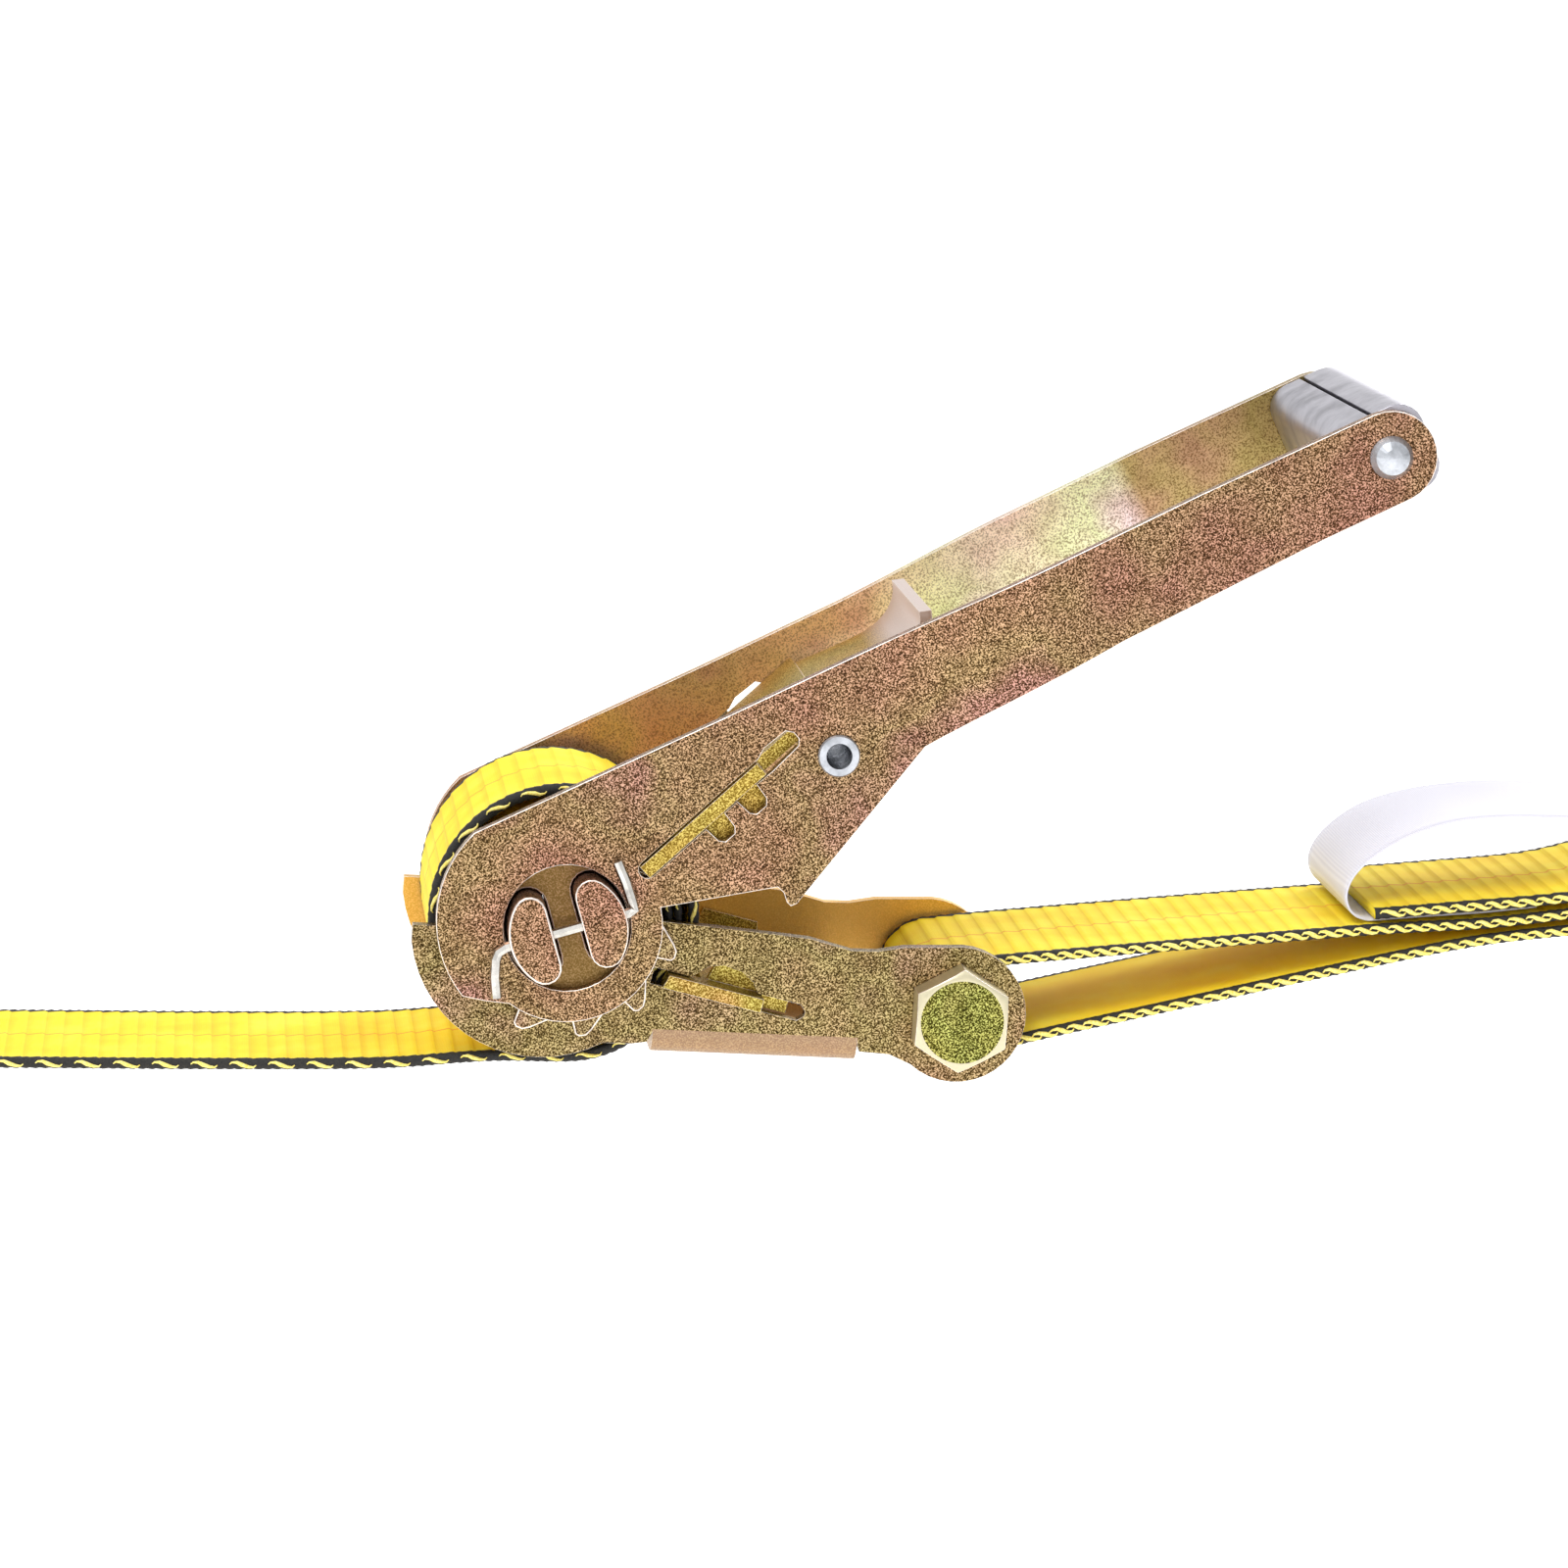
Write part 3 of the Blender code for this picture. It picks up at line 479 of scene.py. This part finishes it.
def fixed_route():
    top = [(170.9, 8.4), (190.0, 10.8), (212.0, 13.8), (226.0, 17.6)]
    round_bar = arc(238.0, 14.5, 5.9, 100, -96, 20)
    bottom = [(226.0, 8.4), (212.0, 6.6), (195.0, 3.9), (178.0, -0.1), (150.5, -7.4), (128.6, -13.3),
              (100.0, -21.0)]
    round_bolt = arc(*BOLT, 9.6, -78, -262, 26)
    upper = [(96.0, -4.5), (129.0, -0.2), (160.0, 3.7), (176.0, 5.6), (195.0, 7.5), (212.0, 10.2),
             (220.0, 11.7)]
    return (smooth_path([*top, round_bar[0]], 5)[:-1] + round_bar
            + smooth_path([round_bar[-1], *bottom, round_bolt[0]], 6)[1:-1] + round_bolt
            + smooth_path([round_bolt[-1], *upper], 6)[1:])


def roll_route():
    """Straight through the slot between the bars, then five turns outwards."""
    turns, first, last = 4.85, 14.1, 24.2
    lean = math.radians(90 + SLOT_TILT)
    through = [(r * math.cos(lean), r * math.sin(lean)) for r in (-11.0, -6.0, 0.0, 6.0, 11.0)]
    steps = 260
    spiral = []
    for i in range(steps + 1):
        angle = lean + 2 * math.pi * turns * i / steps
        radius = first + (last - first) * i / steps
        if i > 4:
            spiral.append((radius * math.cos(angle), radius * math.sin(angle)))
    return through + spiral


def tag_route():
    sewn = [(206.0, 11.1), (195.0, 9.45), (182.0, 8.0), (170.0, 6.55)]
    free = [(167.3, 7.4), (165.6, 9.4), (165.1, 12.4), (166.5, 16.2), (170.5, 20.6), (177.0, 24.9),
            (186.5, 28.3), (197.5, 30.1), (208.0, 30.7), (222.0, 30.7)]
    return sewn + smooth_path([sewn[-1], *free], 6)[1:]


# ---- bands ------------------------------------------------------------------------------------------
def evenly(path, step):
    """The same route with a point every step, and each point's distance along it."""
    out, travelled, left = [(path[0], 0.0)], 0.0, step
    for (x0, z0), (x1, z1) in zip(path, path[1:]):
        length = math.hypot(x1 - x0, z1 - z0)
        done = 0.0
        while length - done >= left:
            done += left
            t = done / length
            out.append(((x0 + (x1 - x0) * t, z0 + (z1 - z0) * t), travelled + done))
            left = step
        left -= length - done
        travelled += length
    if travelled - out[-1][1] > step * 0.4:
        out.append((path[-1], travelled))
    return out


def frames(path, step):
    """(x, z, nx, nz, s) along the route, n to the left of the direction of travel."""
    points = evenly(path, step)
    found = []
    for i, ((x, z), s) in enumerate(points):
        (ax, az), (bx, bz) = points[max(i - 1, 0)][0], points[min(i + 1, len(points) - 1)][0]
        length = math.hypot(bx - ax, bz - az) or 1.0
        found.append((x, z, -(bz - az) / length, (bx - ax) / length, s))
    return found


def to_row(x, y, z):
    return SPINDLE + Vector((x, y, z)) * MM


def finish_piece(name, bm, materials, body):
    bmesh.ops.recalc_face_normals(bm, faces=bm.faces[:])
    mesh = bpy.data.meshes.new(name)
    bm.to_mesh(mesh)
    bm.free()
    mesh.shade_smooth()
    for look in materials:
        mesh.materials.append(look)
    piece = bpy.data.objects.new(name, mesh)
    bpy.context.scene.collection.objects.link(piece)
    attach(piece, body)
    return piece


def band(name, path, body, looks, thick=THICK, rib=0.16, back_rib=1.0):
    """Ribbed webbing with rounded black selvedges; looks are (webbing, selvedge).

    back_rib is how strongly the ribs show on the face away from n.
    """
    half = HALF_WIDTH
    columns = [-half + 1.9 + (2 * half - 3.8) * i / 22 for i in range(23)]
    edge = [(half - 1.2, 0.52), (half - 0.5, 0.50), (half - 0.08, 0.30), (half, 0.0)]
    profile = [(y, 0.46) for y in columns] + [(y, h) for y, h in edge]
    profile += [(y, -h) for y, h in reversed(edge[:-1])] + [(y, -0.46) for y in reversed(columns)]
    profile += [(-y, -h) for y, h in edge] + [(-y, h) for y, h in reversed(edge[:-1])]
    bm = bmesh.new()
    uv = bm.loops.layers.uv.new("weave")
    rows = []
    stations = frames(path, STEP)
    for x, z, nx, nz, s in stations:
        ripple = rib * (1 - 2 * (s / RIB_PITCH % 1.0))
        braid = 0.10 * math.sin(2 * math.pi * s / 2.0)
        row = []
        for y, h in profile:
            inside = abs(y) < half - SELVEDGE
            wave = ripple * (1 if h > 0 else back_rib) if inside else braid
            lift = h * thick + wave * (1 if h > 0 else -1 if h < 0 else 0)
            row.append(bm.verts.new(to_row(x + nx * lift, y, z + nz * lift)))
        rows.append(row)
    count = len(profile)
    for j, (one, two) in enumerate(zip(rows, rows[1:])):
        for i in range(count):
            k = (i + 1) % count
            face = bm.faces.new((one[i], two[i], two[k], one[k]))
            is_edge = max(abs(profile[i][0]), abs(profile[k][0])) > half - SELVEDGE
            face.material_index = 1 if is_edge else 0
            plain = PLAIN if back_rib < 0.5 and profile[i][1] < 0 else 0.0
            here, ahead = stations[j][4], stations[j + 1][4]
            low, high = profile[i][0] + plain, profile[k][0] + plain
            places = ((here, low), (ahead, low), (ahead, high), (here, high))
            for loop, place in zip(face.loops, places):
                loop[uv].uv = place
    for row in (rows[0], rows[-1]):
        face = bm.faces.new(row)
        for loop in face.loops:
            loop[uv].uv = (0.0, PLAIN)
    return finish_piece(name, bm, looks, body)


def tube(bm, points, radii, sides=6):
    """A closed round thread through points given in metres, with its radius at each."""
    rings = []
    for i, (point, radius) in enumerate(zip(points, radii)):
        ahead = points[min(i + 1, len(points) - 1)] - points[max(i - 1, 0)]
        ahead.normalize()
        side = ahead.cross(Vector((0, 1, 0)))
        if side.length < 0.1:
            side = ahead.cross(Vector((1, 0, 0)))
        side.normalize()
        other = ahead.cross(side)
        rings.append([bm.verts.new(point + (side * math.cos(a) + other * math.sin(a)) * radius)
                      for a in (2 * math.pi * k / sides for k in range(sides))])
    for one, two in zip(rings, rings[1:]):
        for k in range(sides):
            bm.faces.new((one[k], one[(k + 1) % sides], two[(k + 1) % sides], two[k]))
    bm.faces.new(rings[0])
    bm.faces.new(rings[-1])


def picots(name, path, body, look, pitch=8.0, thick=THICK, size=1.0):
    """The yellow hooked stitches along both selvedges."""
    bm = bmesh.new()
    stations = frames(path, 0.5)
    shape = ((-2.7, 0.06, 0.12, 0.12), (-2.2, 0.24, 0.16, 0.20), (-1.2, 0.22, 0.16, 0.34),
             (0.0, 0.0, 0.18, 0.46),
             (1.2, -0.22, 0.16, 0.34), (2.2, -0.22, 0.16, 0.20), (2.8, -0.04, 0.12, 0.12))
    for side in (-1, 1):
        s = 4.0
        while s < stations[-1][4] - 4:
            points = []
            for along, height, out, _ in shape:
                x, z, nx, nz, _ = stations[min(max(int((s + along) / 0.5), 0), len(stations) - 1)]
                lift = height * thick * size
                points.append(to_row(x + nx * lift, side * (HALF_WIDTH + out), z + nz * lift))
            tube(bm, points, [radius * size * MM for *_, radius in shape])
            s += pitch
    return finish_piece(name, bm, [look], body)


def seam(name, path, span, body, look):
    """Zigzag stitching on the outer face of a sewn lap, in rows along the strap."""
    bm = bmesh.new()
    stations = [f for f in frames(path, 1.6) if span[0] <= f[4] <= span[1]]
    for row_y in (-19, -13, -6.5, 0, 6.5, 13, 19):
        for i, (one, two) in enumerate(zip(stations, stations[1:])):
            points = []
            for t in (0.0, 0.5, 1.0):
                x, z = (one[k] + (two[k] - one[k]) * t for k in (0, 1))
                y = row_y + (1.1 if (i % 2) == 0 else -1.1) * (1 - 2 * t)
                lift = 0.53 * THICK + 0.30 * math.sin(math.pi * t)
                points.append(to_row(x + one[2] * lift, y, z + one[3] * lift))
            tube(bm, points, (0.12 * MM, 0.24 * MM, 0.12 * MM), 5)
    return finish_piece(name, bm, [look], body)


def length_of(path):
    """A route's length in metres."""
    return sum(math.hypot(b[0] - a[0], b[1] - a[1]) for a, b in zip(path, path[1:])) * MM


def make_tag():
    """The blank white tag, sewn under the fixed strap's lap and curling back over it."""
    half, thick = 22.0, 0.4
    bm = bmesh.new()
    rows = []
    for x, z, nx, nz, s in frames(tag_route(), 1.0):
        row = []
        free = min(max((s - 40) / 20, 0), 1)
        for side in (1, -1):
            for i in range(13):
                y = (-half + 2 * half * i / 12) * side
                sag = free * 0.5 * math.cos(math.pi * y / half / 2) + free * 0.25 * math.sin(s / 6.0 + y / 14)
                lift = side * thick / 2 - sag * 0.6
                row.append(bm.verts.new(to_row(x + nx * lift, y, z + nz * lift)))
        rows.append(row)
    count = len(rows[0])
    for one, two in zip(rows, rows[1:]):
        for i in range(count):
            bm.faces.new((one[i], two[i], two[(i + 1) % count], one[(i + 1) % count]))
    bm.faces.new(rows[0])
    bm.faces.new(rows[-1])
    tag = finish_piece("tag_cloth_piece", bm, [tag_material()], "base")
    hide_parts("strap_tag")


def make_webbing():
    """Both straps and the roll, with their edge stitching."""
    cloth = webbing_material("webbing_cloth")
    black = thread_material("selvedge_black", (0.003, 0.003, 0.003), (0.018, 0.016, 0.013))
    yellow = thread_material("stitch_yellow", (0.80, 0.62, 0.08), (0.97, 0.86, 0.30))
    looks = (cloth, black)
    for name, route, node_name, pitch, size, back_rib in (
            ("main_webbing", main_route(), "main_strap", 8.0, 1.0, 1.0),
            ("fixed_webbing", fixed_route(), "fixed_strap", 3.7, 1.15, 0.2)):
        piece = band(name, route, "base", looks, back_rib=back_rib)
        stitches = picots(name + "_picots", route, "base", yellow, pitch, size=size)
        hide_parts(node_name)
    roll = band("roll_webbing", roll_route(), "spindle", looks, thick=1.6, rib=0.05)
    edges = picots("roll_webbing_picots", roll_route(), "spindle", yellow, thick=1.6)
    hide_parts("webbing_roll")
    main_total = length_of(main_route()) / MM
    seam("main_seam_under", main_route(), (main_total - 24, main_total - 3), "base", yellow)


def make_lock_spring():
    """The lock pawl's coil, squeezed between the frame's tab and the pawl."""
    lean = math.radians(LOCK_TILT)
    along, up = Vector((math.cos(lean), 0, math.sin(lean))), Vector((-math.sin(lean), 0, math.cos(lean)))
    start, length, turns, per_turn = 50.8, 8.6, 6, 16
    radius, level = 3.2, -6.35
    points = []
    for i in range(turns * per_turn + 1):
        angle = 2 * math.pi * i / per_turn
        u = start + length * i / (turns * per_turn)
        round_axis = up * (level + radius * math.sin(angle)) + Vector((0, radius * math.cos(angle), 0))
        points.append(SPINDLE + (along * u + round_axis) * MM)
    bm = bmesh.new()
    tube(bm, points, [0.43 * MM] * len(points))
    bmesh.ops.recalc_face_normals(bm, faces=bm.faces[:])
    mesh = bpy.data.meshes.new("lock_spring_coil")
    bm.to_mesh(mesh)
    bm.free()
    mesh.shade_smooth()
    mesh.materials.append(NODES["lock_pawl_spring"].data.materials[0])
    coil = bpy.data.objects.new("lock_spring_coil", mesh)
    bpy.context.scene.collection.objects.link(coil)
    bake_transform(coil)
    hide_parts("lock_pawl_spring")


make_camera()
make_studio()
make_metals()
make_webbing()
make_tag()
make_lock_spring()

bpy.context.view_layer.update()
